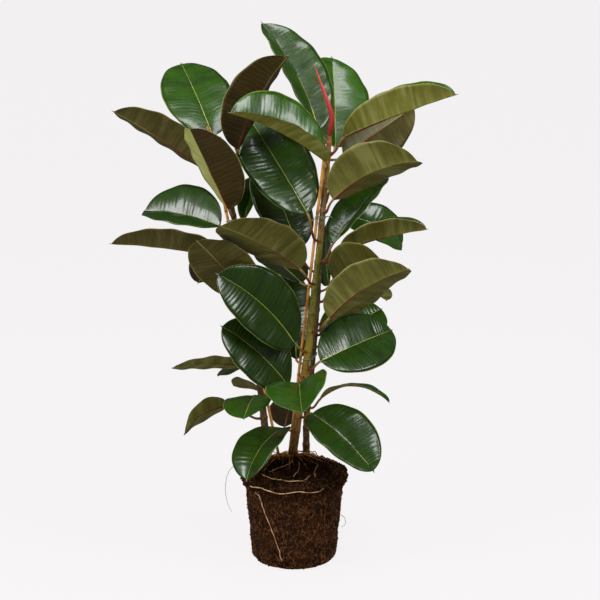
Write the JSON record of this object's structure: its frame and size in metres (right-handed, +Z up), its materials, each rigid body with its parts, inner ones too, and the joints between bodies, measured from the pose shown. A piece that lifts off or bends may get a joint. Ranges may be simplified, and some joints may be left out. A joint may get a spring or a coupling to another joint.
{
  "type": "rubber plant with bare root ball",
  "caption": "Bushy rubber plant lifted out of its pot: stems tied to canes, broad glossy leaves, standing on a bare pot-shaped root ball.",
  "frame": {"origin": "middle of the root ball's flat underside", "axes": "+Z up along the plant, -Y towards the side the plant is shown from, +X to the right seen from that side"},
  "size_m": [0.6283, 0.3912, 1.0051],
  "materials": {
    "leaf": "glossy dark green above, matt olive brown beneath",
    "bark": "matt brown bark with paler leaf scars",
    "cane": "satin bamboo",
    "twine": "matt grey-green garden twine",
    "soil": "matt dark potting soil held together by roots",
    "root": "matt orange-brown root",
    "sheath": "satin red bud sheath"
  },
  "bodies": {
    "root": {"front_leaf_01": "leaf", "front_leaf_02": "leaf", "front_leaf_03": "leaf", "front_leaf_04": "leaf", "front_leaf_05": "leaf", "front_leaf_06": "leaf", "front_leaf_07": "leaf", "front_leaf_08": "leaf", "front_leaf_09": "leaf", "front_leaf_10": "leaf", "front_leaf_11": "leaf", "front_leaf_12": "leaf", "front_leaf_13": "leaf", "front_leaf_14": "leaf", "front_leaf_15": "leaf", "front_leaf_16": "leaf", "front_leaf_17": "leaf", "front_root": "root", "front_stem": "bark", "left_cane": "cane", "left_leaf_01": "leaf", "left_leaf_02": "leaf", "left_leaf_03": "leaf", "left_leaf_04": "leaf", "left_leaf_05": "leaf", "left_leaf_06": "leaf", "left_leaf_07": "leaf", "left_leaf_08": "leaf", "left_leaf_09": "leaf", "left_leaf_10": "leaf", "left_leaf_11": "leaf", "left_leaf_12": "leaf", "left_leaf_13": "leaf", "left_leaf_14": "leaf", "left_stem": "bark", "left_tie": "twine", "lower_tie": "twine", "main_cane": "cane", "rear_leaf_01": "leaf", "rear_leaf_02": "leaf", "rear_leaf_03": "leaf", "rear_leaf_04": "leaf", "rear_leaf_05": "leaf", "rear_leaf_06": "leaf", "rear_leaf_07": "leaf", "rear_leaf_08": "leaf", "rear_leaf_09": "leaf", "rear_leaf_10": "leaf", "rear_leaf_11": "leaf", "rear_leaf_12": "leaf", "rear_stem": "bark", "rim_root": "root", "root_ball": "soil", "side_root": "root", "stem_root_1": "root", "stem_root_2": "root", "stem_root_3": "root", "tip_sheath": "sheath", "upper_tie": "twine"}
  },
  "joints": []
}
